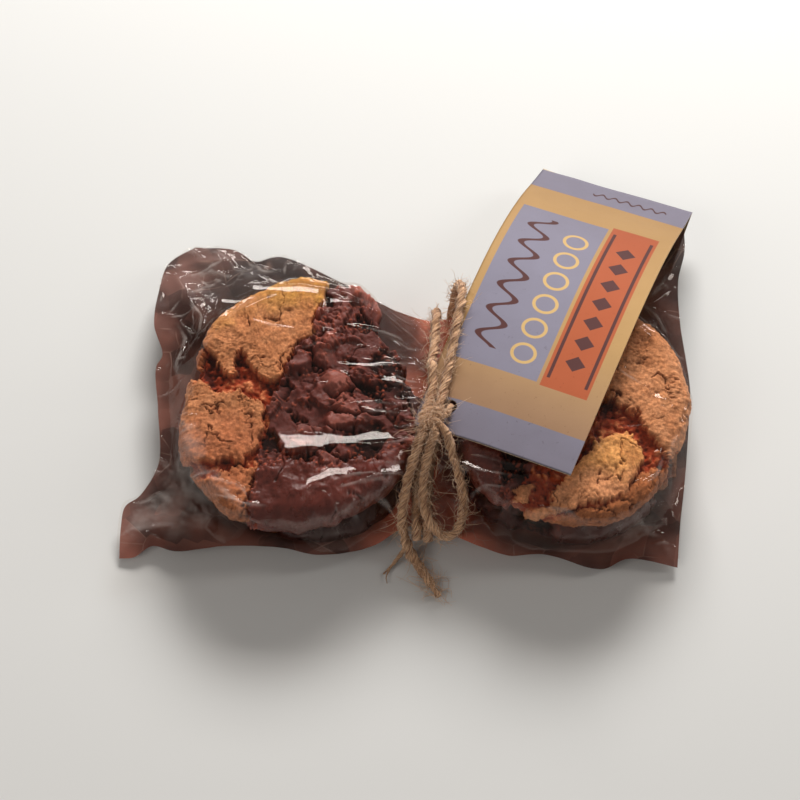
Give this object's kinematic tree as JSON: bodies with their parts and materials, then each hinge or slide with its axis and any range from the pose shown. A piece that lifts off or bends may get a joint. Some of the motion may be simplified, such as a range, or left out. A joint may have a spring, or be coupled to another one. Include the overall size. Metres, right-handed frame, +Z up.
{
  "type": "bag of dipped ginger cookies",
  "caption": "Clear pillow bag of chocolate-dipped ginger cookies in short stacks, tied round the waist with jute twine and wrapped with a folded card strip.",
  "frame": {"origin": "on the table, under the middle of the pack's box, its free twine left out", "axes": "+Z up, +Y away from the viewer, +X along the bag from its left stack of cookies to its right one"},
  "size_m": [0.1753, 0.147, 0.0356],
  "materials": {
    "film": "clear glossy film, creased",
    "card": "matte printed card",
    "twine": "rough twisted jute",
    "biscuit": "dry, cracked, sandy baked crust",
    "chocolate": "set chocolate, satin"
  },
  "bodies": {
    "root": {"bag": "film", "label": "card", "twine_left": "twine", "twine_right": "twine", "twine_hole": "twine", "twine_knot": "twine", "twine_loop": "twine", "twine_tail": "twine"}
  },
  "joints": []
}
